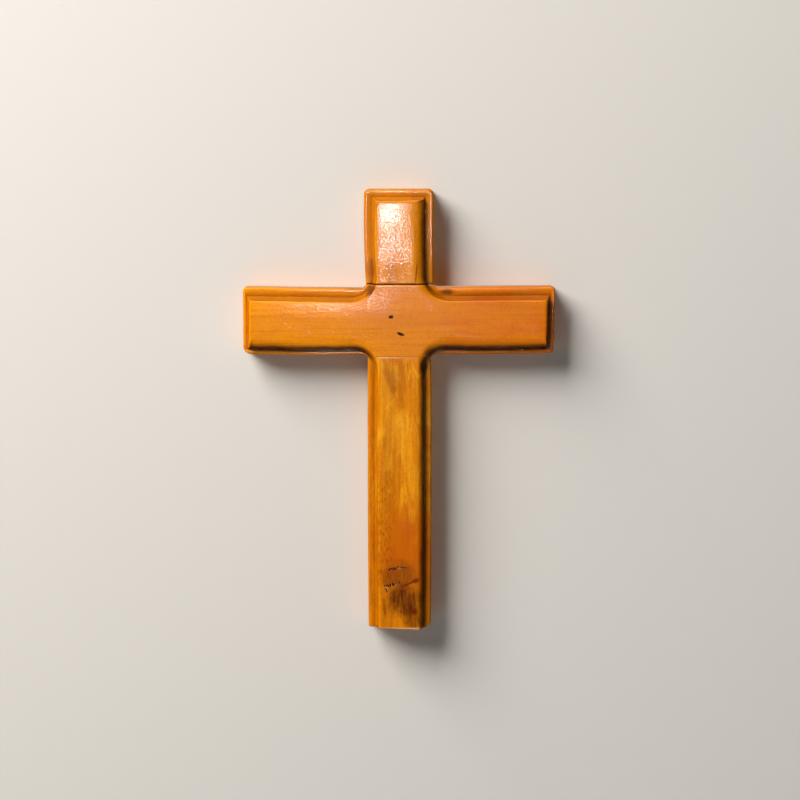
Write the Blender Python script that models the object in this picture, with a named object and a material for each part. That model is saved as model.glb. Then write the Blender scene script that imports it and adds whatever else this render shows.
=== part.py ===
"""A plain wooden wall cross, half-lapped from two planks, with a routed moulding along its edges.

Run with: blender --background --python part.py
Metres, +Z up. The cross hangs on a wall: its flat back lies in the plane y = 0 and its front
faces -Y, so a height above the back is minus y. The origin is on the back, behind the middle
of the crossing, and +X points right for someone who looks at the front.
"""
import math

import bmesh
import bpy
from mathutils import Matrix, Vector

MM = 0.001

# The two planks, and the glue line of the half-lap between them
PLANK_THICKNESS = 20.0 * MM
PLANK_WIDTH = 39.3 * MM
GLUE_LINE = 0.3 * MM

# How far each arm reaches from the middle of the crossing
TOP_REACH = 70.8 * MM
LEFT_REACH = 84.4 * MM
RIGHT_REACH = 84.4 * MM
FOOT_REACH = 169.3 * MM

# Wood sanded off each long side of a plank: next to the crossing, then at the arm's end
TOP_LEFT_SANDED = (1.7 * MM, 0.6 * MM)
TOP_RIGHT_SANDED = (1.2 * MM, 1.4 * MM)
LEG_LEFT_SANDED = (2.5 * MM, 2.9 * MM)
LEG_RIGHT_SANDED = (2.1 * MM, 2.5 * MM)
LEFT_UPPER_SANDED = (2.4 * MM, 1.6 * MM)
LEFT_LOWER_SANDED = (1.1 * MM, 1.7 * MM)
RIGHT_UPPER_SANDED = (1.7 * MM, 1.1 * MM)
RIGHT_LOWER_SANDED = (1.7 * MM, 2.2 * MM)

# Corners of the outer outline
OUTER_CORNER_RADIUS = 1.6 * MM
WORN_CORNER_RADIUS = 4.0 * MM
INNER_CORNER_RADIUS = 2.4 * MM
FOOT_CORNER_RADIUS = 3.2 * MM
FOOT_SLANT = 1.4 * MM

# The routed groove: how far in from the edge its lowest line runs, and how deep it is
LEG_INSET = 4.5 * MM
TOP_SIDE_INSET = 5.0 * MM
TOP_END_INSET = 4.0 * MM
BAR_INSET = 5.0 * MM
LEFT_END_INSET = 2.4 * MM
RIGHT_END_INSET = 3.4 * MM
GROOVE_DEPTH = 6.6 * MM
BEARING_RADIUS = 7.5 * MM

# The lip outside the groove
LIP_DROP = 5.0 * MM
LIP_ROUNDING = 1.9 * MM
LIP_CREST_SHARE = 0.42

# The cove and the rounded shoulder inside the groove, up to the flat field
COVE_WIDTH = 1.5 * MM
COVE_CURVE = 1.5
SHOULDER_WIDTH = 2.6 * MM
SHOULDER_DROP = 1.5 * MM
FIELD_CORNER_RADIUS = 0.8 * MM

# Two old nail holes in the crossbar: how far left of, right of, above and below the middle
UPPER_NAIL_LEFT = 4.0 * MM
UPPER_NAIL_ABOVE = 2.7 * MM
UPPER_NAIL_TURN = 20.0
LOWER_NAIL_RIGHT = 1.1 * MM
LOWER_NAIL_BELOW = 7.2 * MM
LOWER_NAIL_TURN = -25.0
NAIL_HOLE_LENGTH = 2.6 * MM
NAIL_HOLE_WIDTH = 1.7 * MM
NAIL_HOLE_DEPTH = 1.3 * MM

# The blind hole in the back that the cross hangs by
HANGING_HOLE_DIAMETER = 8.0 * MM
HANGING_HOLE_DEPTH = 10.0 * MM
HANGING_HOLE_BELOW_TOP = 18.0 * MM

# How finely curves are cut into facets
INNER_ARC_STEPS = 8
OUTER_ARC_STEPS = 3
SIDE_STEPS = 2
LIP_STEPS = 6
COVE_STEPS = 3
SHOULDER_STEPS = 4
FOOT_STEPS = 4
HOLE_SIDES = 24
NAIL_HOLE_SIDES = 10

HALF_WIDTH = PLANK_WIDTH / 2
CUTTER_MARGIN = 10.0 * MM


def outline_corners():
    """The outer outline's twelve corners before rounding, from the foot's right corner round."""
    return [
        (HALF_WIDTH - LEG_RIGHT_SANDED[1], -FOOT_REACH),
        (HALF_WIDTH - LEG_RIGHT_SANDED[0], RIGHT_LOWER_SANDED[0] - HALF_WIDTH),
        (RIGHT_REACH, RIGHT_LOWER_SANDED[1] - HALF_WIDTH),
        (RIGHT_REACH, HALF_WIDTH - RIGHT_UPPER_SANDED[1]),
        (HALF_WIDTH - TOP_RIGHT_SANDED[0], HALF_WIDTH - RIGHT_UPPER_SANDED[0]),
        (HALF_WIDTH - TOP_RIGHT_SANDED[1], TOP_REACH),
        (TOP_LEFT_SANDED[1] - HALF_WIDTH, TOP_REACH),
        (TOP_LEFT_SANDED[0] - HALF_WIDTH, HALF_WIDTH - LEFT_UPPER_SANDED[0]),
        (-LEFT_REACH, HALF_WIDTH - LEFT_UPPER_SANDED[1]),
        (-LEFT_REACH, LEFT_LOWER_SANDED[1] - HALF_WIDTH),
        (LEG_LEFT_SANDED[0] - HALF_WIDTH, LEFT_LOWER_SANDED[0] - HALF_WIDTH),
        (LEG_LEFT_SANDED[1] - HALF_WIDTH, -FOOT_REACH),
    ]


# The groove's inset on each of the eleven moulded sides, in the corners' order
SIDE_INSETS = [
    LEG_INSET,
    BAR_INSET,
    RIGHT_END_INSET,
    BAR_INSET,
    TOP_SIDE_INSET,
    TOP_END_INSET,
    TOP_SIDE_INSET,
    BAR_INSET,
    LEFT_END_INSET,
    BAR_INSET,
    LEG_INSET,
]
# What each of the twelve corners is, in the same order
CORNER_KINDS = [
    "foot",
    "inner",
    "outer",
    "outer",
    "inner",
    "outer",
    "outer",
    "inner",
    "outer",
    "worn",
    "inner",
    "foot",
]


def offset_corners(insets):
    """The outline's corners with each moulded side moved inwards; the foot's end stays."""
    corners = [Vector(corner) for corner in outline_corners()]
    lines = []
    for index, inset in enumerate(insets):
        start, end = corners[index], corners[index + 1]
        along = (end - start).normalized()
        inwards = Vector((-along.y, along.x))
        lines.append((start + inwards * inset, along))
    moved = [corners[0] + Vector((-insets[0], 0.0))]
    for (point_a, along_a), (point_b, along_b) in zip(lines, lines[1:]):
        gap = point_b - point_a
        travel = gap.cross(along_b) / along_a.cross(along_b)
        moved.append(point_a + along_a * travel)
    moved.append(corners[-1] + Vector((insets[-1], 0.0)))
    return moved


def rounded_corner(before, corner, after, radius, steps):
    """Points of the arc that rounds one corner."""
    back = (before - corner).normalized()
    ahead = (after - corner).normalized()
    half_angle = back.angle(ahead) / 2
    reach = radius / math.tan(half_angle)
    centre = corner + (back + ahead).normalized() * (radius / math.sin(half_angle))
    first = corner + back * reach - centre
    last = corner + ahead * reach - centre
    sweep = first.angle_signed(last)
    return [centre + Matrix.Rotation(-sweep * step / steps, 2) @ first for step in range(steps + 1)]


def outline(insets, radii):
    """An open outline from the foot's right corner round to its left one."""
    corners = offset_corners(insets)
    stretches = [[corners[0]]]
    for index in range(1, len(corners) - 1):
        steps = INNER_ARC_STEPS if CORNER_KINDS[index] == "inner" else OUTER_ARC_STEPS
        before, corner, after = corners[index - 1], corners[index], corners[index + 1]
        stretches.append(rounded_corner(before, corner, after, radii[index], steps))
    stretches.append([corners[-1]])
    points = []
    for stretch, following in zip(stretches, stretches[1:]):
        points += stretch
        start, end = stretch[-1], following[0]
        points += [start.lerp(end, step / (SIDE_STEPS + 1)) for step in range(1, SIDE_STEPS + 1)]
    return points + stretches[-1]


def edge_outline():
    """The outer edge, as sanded by hand."""
    radius = {
        "foot": 0.0,
        "inner": INNER_CORNER_RADIUS,
        "outer": OUTER_CORNER_RADIUS,
        "worn": WORN_CORNER_RADIUS,
    }
    return outline([0.0] * len(SIDE_INSETS), [radius[kind] for kind in CORNER_KINDS])


def routed_outline(further_in, outer_radius):
    """A line that the router cut, so many metres inside the bottom of its groove.

    The router's bearing rolls along the edge and can't reach into an inner corner, so there
    the line is an arc round the bearing's own centre.
    """
    insets = [inset + further_in for inset in SIDE_INSETS]
    radii = [outer_radius] * len(CORNER_KINDS)
    for index, kind in enumerate(CORNER_KINDS):
        if kind == "inner":
            radii[index] = BEARING_RADIUS + (insets[index - 1] + insets[index]) / 2
    return outline(insets, radii)


def lip_drop(share):
    """How far the lip lies below the front, by its share of the way from edge to groove."""
    if share < LIP_CREST_SHARE:
        outwards = 1 - share / LIP_CREST_SHARE
        return LIP_DROP + LIP_ROUNDING * (1 - math.sqrt(1 - outwards ** 2))
    inwards = (share - LIP_CREST_SHARE) / (1 - LIP_CREST_SHARE)
    return LIP_DROP + (GROOVE_DEPTH - LIP_DROP) * inwards ** 2


def moulding_rings():
    """The moulding as (outline, height above the back), from the back's edge to the field's."""
    edge = edge_outline()
    groove = routed_outline(0.0, FIELD_CORNER_RADIUS / 2)
    rings = [(edge, 0.0)]
    for step in range(LIP_STEPS + 1):
        share = (1 - math.cos(math.pi * step / LIP_STEPS)) / 2
        line = [outer.lerp(inner, share) for outer, inner in zip(edge, groove)]
        rings.append((line, PLANK_THICKNESS - lip_drop(share)))
    for step in range(1, COVE_STEPS + 1):
        share = step / COVE_STEPS
        rise = (GROOVE_DEPTH - SHOULDER_DROP) * share ** COVE_CURVE
        line = routed_outline(COVE_WIDTH * share, FIELD_CORNER_RADIUS)
        rings.append((line, PLANK_THICKNESS - GROOVE_DEPTH + rise))
    for step in range(1, SHOULDER_STEPS + 1):
        turn = math.pi / 2 * step / SHOULDER_STEPS
        line = routed_outline(COVE_WIDTH + SHOULDER_WIDTH * (1 - math.cos(turn)), FIELD_CORNER_RADIUS)
        rings.append((line, PLANK_THICKNESS - SHOULDER_DROP * (1 - math.sin(turn))))
    return rings


def foot_level(x):
    """The z of the foot's sawn end, which slants a little and is rounded at its right corner."""
    right_edge = outline_corners()[0][0]
    across = (right_edge - x) / (2 * HALF_WIDTH)
    level = -FOOT_REACH + FOOT_SLANT * across
    into_corner = FOOT_CORNER_RADIUS - (right_edge - x)
    if into_corner > 0:
        level += FOOT_CORNER_RADIUS - math.sqrt(max(FOOT_CORNER_RADIUS ** 2 - into_corner ** 2, 0.0))
    return level


def whole_cross():
    """The glued and routed cross as one closed mesh, before it is parted along its glue lines."""
    mesh = bmesh.new()

    def vertex(point, height):
        return mesh.verts.new((point[0], -height, point[1]))

    def foot_vertex(x, height):
        return mesh.verts.new((x, -height, foot_level(x)))

    rings = []
    for line, height in moulding_rings():
        inner = [vertex(point, height) for point in line[1:-1]]
        rings.append([foot_vertex(line[0].x, height)] + inner + [foot_vertex(line[-1].x, height)])
    for ring, following in zip(rings, rings[1:]):
        for index in range(len(ring) - 1):
            mesh.faces.new((ring[index], ring[index + 1], following[index + 1], following[index]))

    # The foot's end: a front edge that follows the moulding and a straight back edge
    field_right, field_left = rings[-1][0], rings[-1][-1]
    field_edge = []
    for step in range(1, FOOT_STEPS):
        x = field_right.co.x + (field_left.co.x - field_right.co.x) * step / FOOT_STEPS
        field_edge.append(foot_vertex(x, PLANK_THICKNESS))
    front_edge = [ring[0] for ring in rings[1:]] + field_edge + [ring[-1] for ring in rings[:0:-1]]
    back_edge = [rings[0][0]] + [foot_vertex(top.co.x, 0.0) for top in front_edge[1:-1]] + [rings[0][-1]]
    for index in range(len(front_edge) - 1):
        mesh.faces.new((back_edge[index], front_edge[index], front_edge[index + 1], back_edge[index + 1]))

    mesh.faces.new(rings[-1] + field_edge[::-1])
    mesh.faces.new(rings[0][::-1] + back_edge[1:-1])
    bmesh.ops.recalc_face_normals(mesh, faces=mesh.faces)
    data = bpy.data.meshes.new("whole_cross")
    mesh.to_mesh(data)
    mesh.free()
    return data


def wood(name, colour):
    """A varnished wood."""
    material = bpy.data.materials.new(name)
    material.use_nodes = True
    shader = material.node_tree.nodes["Principled BSDF"]
    shader.inputs["Base Color"].default_value = (*colour, 1.0)
    shader.inputs["Roughness"].default_value = 0.3
    shader.inputs["Metallic"].default_value = 0.0
    return material


def add_object(name, data, parent=None):
    """A mesh object in the scene."""
    thing = bpy.data.objects.new(name, data)
    bpy.context.scene.collection.objects.link(thing)
    thing.parent = parent
    return thing


def add_cutter(name, mesh):
    """A guide that is only subtracted from a piece."""
    data = bpy.data.meshes.new(name)
    bmesh.ops.recalc_face_normals(mesh, faces=mesh.faces)
    mesh.to_mesh(data)
    mesh.free()
    cutter = add_object(name, data)
    cutter.hide_render = True
    cutter.display_type = "WIRE"
    return cutter


def box_cutter(name, low, high):
    """A box between two corners."""
    mesh = bmesh.new()
    size = [top - bottom for bottom, top in zip(low, high)]
    middle = [(top + bottom) / 2 for bottom, top in zip(low, high)]
    bmesh.ops.create_cube(mesh, size=1.0)
    bmesh.ops.scale(mesh, vec=size, verts=mesh.verts)
    bmesh.ops.translate(mesh, vec=middle, verts=mesh.verts)
    return add_cutter(name, mesh)


def round_cutter(name, radii, depth, sides):
    """A cylinder or cone along Y, its first radius at y = 0 and its second at y = depth."""
    mesh = bmesh.new()
    turn = Matrix.Rotation(-math.pi / 2, 4, "X") @ Matrix.Translation((0.0, 0.0, depth / 2))
    bmesh.ops.create_cone(
        mesh, cap_ends=True, segments=sides, radius1=radii[0], radius2=radii[1], depth=depth, matrix=turn
    )
    return add_cutter(name, mesh)


def cut(piece, cutter):
    """Subtract a cutter from a piece."""
    modifier = piece.modifiers.new(cutter.name, "BOOLEAN")
    modifier.operation = "DIFFERENCE"
    modifier.solver = "EXACT"
    modifier.object = cutter


def smooth(piece):
    """Smooth shading over the moulding, with its creases kept."""
    piece.data.shade_smooth()
    piece.data.set_sharp_from_angle(angle=math.radians(35))


def nail_hole(name, x, z, turn):
    """A pointed, oval pit in the front face, turned by some degrees."""
    radii = (NAIL_HOLE_LENGTH, NAIL_HOLE_LENGTH / 8)
    cutter = round_cutter(name, radii, 2 * NAIL_HOLE_DEPTH, NAIL_HOLE_SIDES)
    cutter.location = (x, -PLANK_THICKNESS - NAIL_HOLE_DEPTH, z)
    cutter.rotation_euler = (0.0, math.radians(-turn), 0.0)
    cutter.scale = (1.0, 1.0, NAIL_HOLE_WIDTH / NAIL_HOLE_LENGTH)
    return cutter


def make_crossbar(data, cross):
    """The plank across the front, with its notch at the back."""
    bar = add_object("crossbar", data, cross)
    bar.data.materials.append(wood("varnished_crossbar", (0.71, 0.27, 0.03)))
    edge = HALF_WIDTH - GLUE_LINE / 2
    side = max(LEFT_REACH, RIGHT_REACH) + CUTTER_MARGIN
    front = -PLANK_THICKNESS - CUTTER_MARGIN
    top = TOP_REACH + CUTTER_MARGIN
    foot = -FOOT_REACH - CUTTER_MARGIN
    cut(bar, box_cutter("above_crossbar", (-side, front, edge), (side, CUTTER_MARGIN, top)))
    cut(bar, box_cutter("below_crossbar", (-side, front, foot), (side, CUTTER_MARGIN, -edge)))
    notch = HALF_WIDTH + GLUE_LINE / 2
    notch_floor = -PLANK_THICKNESS / 2 - GLUE_LINE / 2
    cut(bar, box_cutter("crossbar_notch", (-notch, notch_floor, -side), (notch, CUTTER_MARGIN, side)))
    cut(bar, nail_hole("upper_nail_hole", -UPPER_NAIL_LEFT, UPPER_NAIL_ABOVE, UPPER_NAIL_TURN))
    cut(bar, nail_hole("lower_nail_hole", LOWER_NAIL_RIGHT, -LOWER_NAIL_BELOW, LOWER_NAIL_TURN))
    smooth(bar)


def make_upright(data, cross):
    """The plank behind, with its notch at the front and the hanging hole in its back."""
    upright = add_object("upright", data, cross)
    upright.data.materials.append(wood("varnished_upright", (0.64, 0.22, 0.02)))
    edge = HALF_WIDTH - GLUE_LINE / 2
    front = -PLANK_THICKNESS - CUTTER_MARGIN
    top = TOP_REACH + CUTTER_MARGIN
    foot = -FOOT_REACH - CUTTER_MARGIN
    left = -LEFT_REACH - CUTTER_MARGIN
    right = RIGHT_REACH + CUTTER_MARGIN
    cut(upright, box_cutter("left_of_upright", (left, front, foot), (-edge, CUTTER_MARGIN, top)))
    cut(upright, box_cutter("right_of_upright", (edge, front, foot), (right, CUTTER_MARGIN, top)))
    notch = HALF_WIDTH + GLUE_LINE / 2
    notch_floor = -PLANK_THICKNESS / 2 + GLUE_LINE / 2
    cut(upright, box_cutter("upright_notch", (left, front, -notch), (right, notch_floor, notch)))
    radius = HANGING_HOLE_DIAMETER / 2
    hole = round_cutter("hanging_hole", (radius, radius), 2 * HANGING_HOLE_DEPTH, HOLE_SIDES)
    hole.location = (0.0, -HANGING_HOLE_DEPTH, TOP_REACH - HANGING_HOLE_BELOW_TOP)
    cut(upright, hole)
    smooth(upright)


def main():
    for old in list(bpy.data.objects):
        bpy.data.objects.remove(old)
    cross = bpy.data.objects.new("cross", None)
    bpy.context.scene.collection.objects.link(cross)
    data = whole_cross()
    make_crossbar(data, cross)
    make_upright(data.copy(), cross)


main()
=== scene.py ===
# %% [markdown]
# # A varnished wooden wall cross
# The real cross is two planks glued together with a half-lap. A router cut a groove and a lip
# round its edges, it was sanded by hand, and it was varnished thickly enough to look wet.
# A plain box model can't show any of that, so each plank is built here as a fine mesh with the
# true moulding, and gets a wood that is worked out from its own position in space.

# %% Load the fixed frame
import math

import bmesh
import bpy
from mathutils import Matrix, Vector, noise
from mathutils.geometry import delaunay_2d_cdt
from mathutils.kdtree import KDTree


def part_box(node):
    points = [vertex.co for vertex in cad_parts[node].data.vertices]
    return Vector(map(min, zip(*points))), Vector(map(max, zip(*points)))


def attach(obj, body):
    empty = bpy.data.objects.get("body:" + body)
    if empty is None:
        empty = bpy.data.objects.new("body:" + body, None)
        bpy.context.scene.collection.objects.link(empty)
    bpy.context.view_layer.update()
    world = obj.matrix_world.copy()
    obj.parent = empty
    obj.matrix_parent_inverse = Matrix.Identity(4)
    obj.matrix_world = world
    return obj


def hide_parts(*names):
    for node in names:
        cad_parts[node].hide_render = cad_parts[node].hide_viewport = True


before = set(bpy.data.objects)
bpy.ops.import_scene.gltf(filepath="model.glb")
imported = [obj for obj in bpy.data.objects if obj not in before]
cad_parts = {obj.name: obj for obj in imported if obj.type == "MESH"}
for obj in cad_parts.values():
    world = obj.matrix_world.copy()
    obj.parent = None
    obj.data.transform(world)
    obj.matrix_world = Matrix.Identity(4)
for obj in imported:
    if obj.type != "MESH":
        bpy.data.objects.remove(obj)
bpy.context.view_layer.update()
MM = 0.001

# %% [markdown]
# ## The camera
# The cross hangs on a wall and is seen from straight in front, from a step away, with the
# camera about level with its top and tipped down a little. A long lens keeps the edges parallel.
# The lens is set from the size of a millimetre in the picture, not by eye.

# %% Camera
CAMERA_DISTANCE = 1210.0 * MM
CAMERA_PITCH = math.radians(6.0)
AIM = Vector((0.5 * MM, 0.0, -44.8 * MM))
FOCAL_LENGTH = 99.2

camera_data = bpy.data.cameras.new("camera")
camera_data.lens = FOCAL_LENGTH
camera_data.sensor_width = 36.0
camera = bpy.data.objects.new("camera", camera_data)
bpy.context.scene.collection.objects.link(camera)
line_of_sight = Vector((0.0, math.cos(CAMERA_PITCH), -math.sin(CAMERA_PITCH)))
camera.location = AIM - line_of_sight * CAMERA_DISTANCE
camera.rotation_euler = (math.pi / 2 - CAMERA_PITCH, 0.0, 0.0)
bpy.context.scene.camera = camera
print("camera at", [round(value, 3) for value in camera.location])

# %% [markdown]
# ## Plain materials for the stage
# A stage material needs one flat colour and no gloss. The wall behind the cross has to carry
# its shadow, but it would hide the back of the cross from a camera behind it. So its far side
# is see-through: the shader asks whether a face is seen from its back and mixes in Transparent.

# %% Wall and floor
WALL_COLOUR = (0.62, 0.60, 0.57, 1.0)
FLOOR_COLOUR = (0.66, 0.65, 0.63, 1.0)
WALL_GAP = 0.4 * MM
FLOOR_LEVEL = -1.3
STAGE_REACH = 4.0


def matt(name, colour):
    """A matt material of one colour, and its node tree."""
    material = bpy.data.materials.new(name)
    material.use_nodes = True
    shader = material.node_tree.nodes["Principled BSDF"]
    shader.inputs["Base Color"].default_value = colour
    shader.inputs["Roughness"].default_value = 0.9
    shader.inputs["Specular IOR Level"].default_value = 0.1
    return material


def stage_plane(name, corners, material):
    """A flat stage piece through four corners."""
    data = bpy.data.meshes.new(name)
    data.from_pydata(corners, [], [(0, 1, 2, 3)])
    data.materials.append(material)
    plane = bpy.data.objects.new(name, data)
    bpy.context.scene.collection.objects.link(plane)
    return plane


wall_paint = matt("wall_paint", WALL_COLOUR)
tree = wall_paint.node_tree
far_side = tree.nodes.new("ShaderNodeNewGeometry").outputs["Backfacing"]
see_through = tree.nodes.new("ShaderNodeBsdfTransparent")
one_way = tree.nodes.new("ShaderNodeMixShader")
tree.links.new(far_side, one_way.inputs["Fac"])
tree.links.new(tree.nodes["Principled BSDF"].outputs[0], one_way.inputs[1])
tree.links.new(see_through.outputs[0], one_way.inputs[2])
tree.links.new(one_way.outputs[0], tree.nodes["Material Output"].inputs["Surface"])

wall = stage_plane(
    "wall",
    [
        (-STAGE_REACH, WALL_GAP, FLOOR_LEVEL),
        (STAGE_REACH, WALL_GAP, FLOOR_LEVEL),
        (STAGE_REACH, WALL_GAP, STAGE_REACH),
        (-STAGE_REACH, WALL_GAP, STAGE_REACH),
    ],
    wall_paint,
)
wall.visible_diffuse = False
wall.visible_glossy = False
wall.visible_shadow = False
floor = stage_plane(
    "floor",
    [
        (-STAGE_REACH, -STAGE_REACH, FLOOR_LEVEL),
        (STAGE_REACH, -STAGE_REACH, FLOOR_LEVEL),
        (STAGE_REACH, STAGE_REACH, FLOOR_LEVEL),
        (-STAGE_REACH, STAGE_REACH, FLOOR_LEVEL),
    ],
    matt("floor_paint", FLOOR_COLOUR),
)
floor.visible_glossy = False
print("wall at y =", WALL_GAP, "floor at z =", FLOOR_LEVEL)

# %% [markdown]
# ## The light
# The shadow of the cross falls to the right and down, a bit over 1 mm for each millimetre of
# thickness both ways, and its edge is soft. That is one large softbox at the upper left. The
# varnish is so glossy that its highlights decide the look, so they get lights of their own,
# which give reflections and no shading: a large one above draws the pale rims on every edge
# that faces it, three small ones near the camera make the wet shine on the top arm, a warm halo
# and the glitter along the left arm, and a dim card behind the cross adds one more reflection.

# %% Lights
KEY_DIRECTION = Vector((-1.2, -1.0, 1.3)).normalized()
KEY_DISTANCE = 2.0
KEY_SIZE = 1.3
KEY_POWER = 91.0
KEY_COLOUR = (1.0, 0.97, 0.93)
BACK_POWER = 40.0
WORLD_COLOUR = (0.86, 0.90, 0.95, 1.0)
WORLD_STRENGTH = 0.05
NEUTRAL = (1.0, 1.0, 1.0)
WARM = (1.0, 0.82, 0.66)
GLOSS_LIGHTS = [
    {"name": "shine", "at": (-0.036, -1.25, 0.108), "size": (0.084, 0.068), "power": 0.85, "colour": NEUTRAL},
    {"name": "halo", "at": (0.004, -1.25, 0.026), "size": (0.044, 0.034), "power": 0.09, "colour": WARM},
    {"name": "glitter", "at": (-0.041, -1.25, 0.001), "size": (0.090, 0.016), "power": 0.62, "colour": NEUTRAL},
    {"name": "sheet_above", "at": (-0.20, -0.85, 1.00), "size": (0.90, 1.00), "power": 9.0, "colour": WARM},
    {"name": "card_behind", "at": (0.0, 0.50, 0.055), "size": (0.26, 0.08), "power": 0.035, "colour": WARM},
]


def area_light(name, place, target, size, power, colour=(1.0, 1.0, 1.0)):
    """A softbox of a width and height at a place, facing a target."""
    data = bpy.data.lights.new(name, "AREA")
    data.shape = "RECTANGLE"
    data.size, data.size_y = size
    data.energy = power
    data.color = colour
    light = bpy.data.objects.new(name, data)
    light.location = place
    light.rotation_euler = (target - place).to_track_quat("-Z", "Y").to_euler()
    bpy.context.scene.collection.objects.link(light)
    return light


key = area_light("key_softbox", KEY_DIRECTION * KEY_DISTANCE, AIM, (KEY_SIZE, KEY_SIZE), KEY_POWER, KEY_COLOUR)
key.visible_glossy = False
back = area_light("back_softbox", Vector((0.9, 1.6, 0.9)), AIM, (1.0, 1.0), BACK_POWER)
back.visible_glossy = False

for gloss in GLOSS_LIGHTS:
    aim = Vector((0.0, 0.0, 0.0))
    light = area_light(gloss["name"], Vector(gloss["at"]), aim, gloss["size"], gloss["power"], gloss["colour"])
    light.visible_diffuse = False

world = bpy.data.worlds.new("pale_room")
world.use_nodes = True
world.node_tree.nodes["Background"].inputs["Color"].default_value = WORLD_COLOUR
world.node_tree.nodes["Background"].inputs["Strength"].default_value = WORLD_STRENGTH
world.cycles_visibility.glossy = False
bpy.context.scene.world = world
bpy.context.scene.view_settings.view_transform = "Standard"
print("key softbox at", [round(value, 2) for value in key.location])

# %% [markdown]
# ## The outer edge
# The edge of the cross is its outline from the front. The planks were one width, but the arms
# were sanded to slightly different widths, and their sides bow a little. So each of the eleven
# moulded sides starts as a straight line between two corners, and takes a small bow. The
# corners come from the frame's boxes, less what was sanded off each side.

# %% The twelve corners
bar_low, bar_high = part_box("crossbar")
post_low, post_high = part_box("upright")
GLUE_LINE = 0.3 * MM
HALF_WIDTH = bar_high.z + GLUE_LINE / 2
THICKNESS = -post_low.y
FOOT_REACH = 169.2 * MM

CORNERS = [
    ("foot", HALF_WIDTH - 2.1 * MM, -FOOT_REACH),
    ("inner", HALF_WIDTH - 2.1 * MM, 1.3 * MM - HALF_WIDTH),
    ("outer", bar_high.x - 0.9 * MM, 1.8 * MM - HALF_WIDTH),
    ("outer", bar_high.x - 0.1 * MM, HALF_WIDTH - 1.1 * MM),
    ("inner", HALF_WIDTH - 0.9 * MM, HALF_WIDTH - 1.7 * MM),
    ("top", HALF_WIDTH - 1.0 * MM, post_high.z),
    ("top", 0.6 * MM - HALF_WIDTH, post_high.z),
    ("inner", 1.7 * MM - HALF_WIDTH, HALF_WIDTH - 2.4 * MM),
    ("outer", bar_low.x, HALF_WIDTH - 1.6 * MM),
    ("worn", bar_low.x, 1.3 * MM - HALF_WIDTH),
    ("inner", 2.5 * MM - HALF_WIDTH, 0.7 * MM - HALF_WIDTH),
    ("foot", 2.9 * MM - HALF_WIDTH, -FOOT_REACH),
]

# For each side: how far it bows outwards, the groove's inset, the widths of the cove and the
# shoulder, the shoulder's drop, where the lip is highest, as a share of the groove's inset,
# how strong the painted shade in the groove is, and how far up the section it reaches. The
# painted shade is strongest under the arms and at the right end, away from the key light
SIDES = [
    ("leg right", 0.25, 4.2, 0.8, 2.9, 2.2, 0.30, 0.55, 2.4),
    ("right arm under", 0.40, 3.0, 0.8, 5.8, 2.5, 0.45, 0.92, 2.5),
    ("right end", 0.00, 2.9, 0.8, 1.9, 1.5, 0.25, 0.85, 2.5),
    ("right arm over", 0.00, 5.0, 2.2, 1.0, 0.4, 0.40, 0.50, 2.4),
    ("top arm right", -0.05, 4.8, 0.8, 5.2, 2.3, 0.25, 0.55, 2.3),
    ("top end", 0.00, 4.6, 1.6, 1.3, 0.4, 0.40, 0.32, 2.6),
    ("top arm left", 0.55, 4.5, 1.5, 1.2, 0.4, 0.35, 0.36, 2.3),
    ("left arm over", 0.00, 5.0, 2.2, 1.0, 0.4, 0.30, 0.55, 2.4),
    ("left end", 0.00, 2.4, 1.4, 1.2, 0.4, 0.40, 0.40, 2.2),
    ("left arm under", 0.45, 3.0, 0.8, 5.8, 2.5, 0.45, 0.92, 2.5),
    ("leg left", 0.25, 3.9, 1.6, 1.2, 0.7, 0.30, 0.32, 2.6),
]
BOW, GROOVE, COVE, SHOULDER, SHOULDER_DROP, CREST, GROOVE_SHADE, REACH = range(1, 9)
EDGE_RADIUS = {"outer": 2.2 * MM, "top": 2.9 * MM, "worn": 4.2 * MM, "inner": 2.4 * MM}
print("planks", round(HALF_WIDTH * 2000, 1), "mm wide,", round(THICKNESS * 1000, 1), "mm thick")

# %% [markdown]
# ## Lines that run round the cross
# Every edge of the moulding is the outline again, moved inwards. A router is guided by a ball
# bearing that rolls along the edge, and a bearing can't reach into an inner corner. There the
# groove is an arc round the bearing's centre, which is why the lip is so thin at the crossing.
# One function makes all these lines with the same number of points, so that neighbouring
# lines can be joined with four-sided faces.

# %% Offset lines
BEARING_RADIUS = 7.5 * MM
POINT_SPACING = 0.9 * MM
ARC_STEPS = {"inner": 24, "outer": 8, "top": 9, "worn": 10}


def moved_corners(insets):
    """The corners after each side has moved inwards by its inset."""
    corners = [Vector(corner[1:]) for corner in CORNERS]
    lines = []
    for start, end, inset in zip(corners, corners[1:], insets):
        along = (end - start).normalized()
        lines.append((start + Vector((-along.y, along.x)) * inset, along))
    moved = [corners[0] + Vector((-insets[0], 0.0))]
    for (point_a, along_a), (point_b, along_b) in zip(lines, lines[1:]):
        travel = (point_b - point_a).cross(along_b) / along_a.cross(along_b)
        moved.append(point_a + along_a * travel)
    moved.append(corners[-1] + Vector((insets[-1], 0.0)))
    return moved


def arc(before, corner, after, radius, steps):
    """Points along the arc that rounds a corner."""
    back = (before - corner).normalized()
    ahead = (after - corner).normalized()
    half_angle = back.angle(ahead) / 2
    centre = corner + (back + ahead).normalized() * (radius / math.sin(half_angle))
    first = corner + back * (radius / math.tan(half_angle)) - centre
    last = corner + ahead * (radius / math.tan(half_angle)) - centre
    sweep = -first.angle_signed(last)
    return [centre + Matrix.Rotation(sweep * step / steps, 2) @ first for step in range(steps + 1)]


side_lengths = [
    (Vector(end[1:]) - Vector(start[1:])).length for start, end in zip(CORNERS, CORNERS[1:])
]
SIDE_STEPS = [round(length / POINT_SPACING) for length in side_lengths]


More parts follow.
